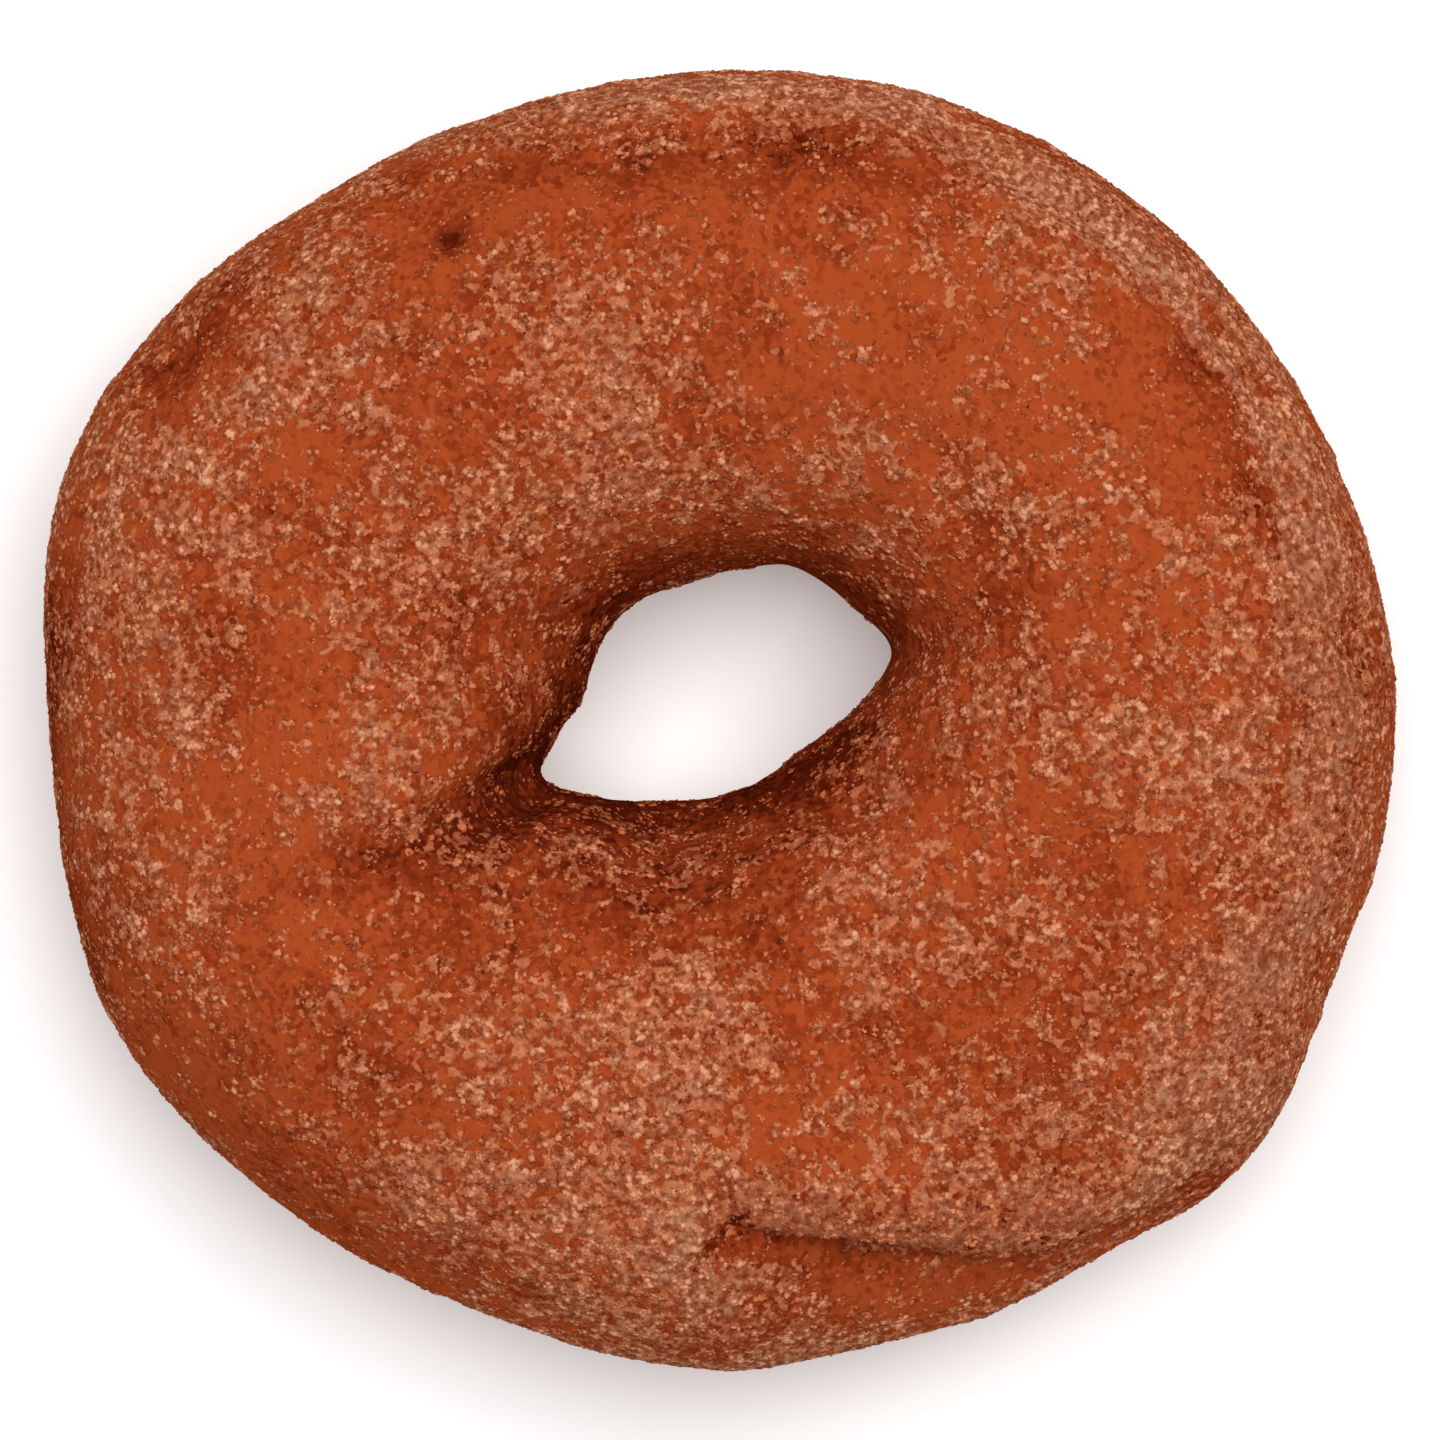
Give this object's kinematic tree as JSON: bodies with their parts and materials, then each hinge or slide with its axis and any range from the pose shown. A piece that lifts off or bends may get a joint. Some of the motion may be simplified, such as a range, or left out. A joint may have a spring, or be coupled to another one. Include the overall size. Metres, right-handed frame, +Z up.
{
  "type": "cinnamon ring doughnut",
  "caption": "Uneven ring of raised, fried dough with a skewed oval hole, a lapped fold at the front and low creases, coated in cinnamon sugar.",
  "frame": {"origin": "middle of the box's underside, on the surface that the doughnut lies on", "axes": "+Z up through the hole, +X along the longest way across and to the right in the picture, +Y to the picture's top"},
  "size_m": [0.0922, 0.0884, 0.031],
  "materials": {
    "crust": "orange-brown fried crust under an uneven coat of sugar and cinnamon"
  },
  "bodies": {
    "root": {"doughnut": "crust"}
  },
  "joints": []
}
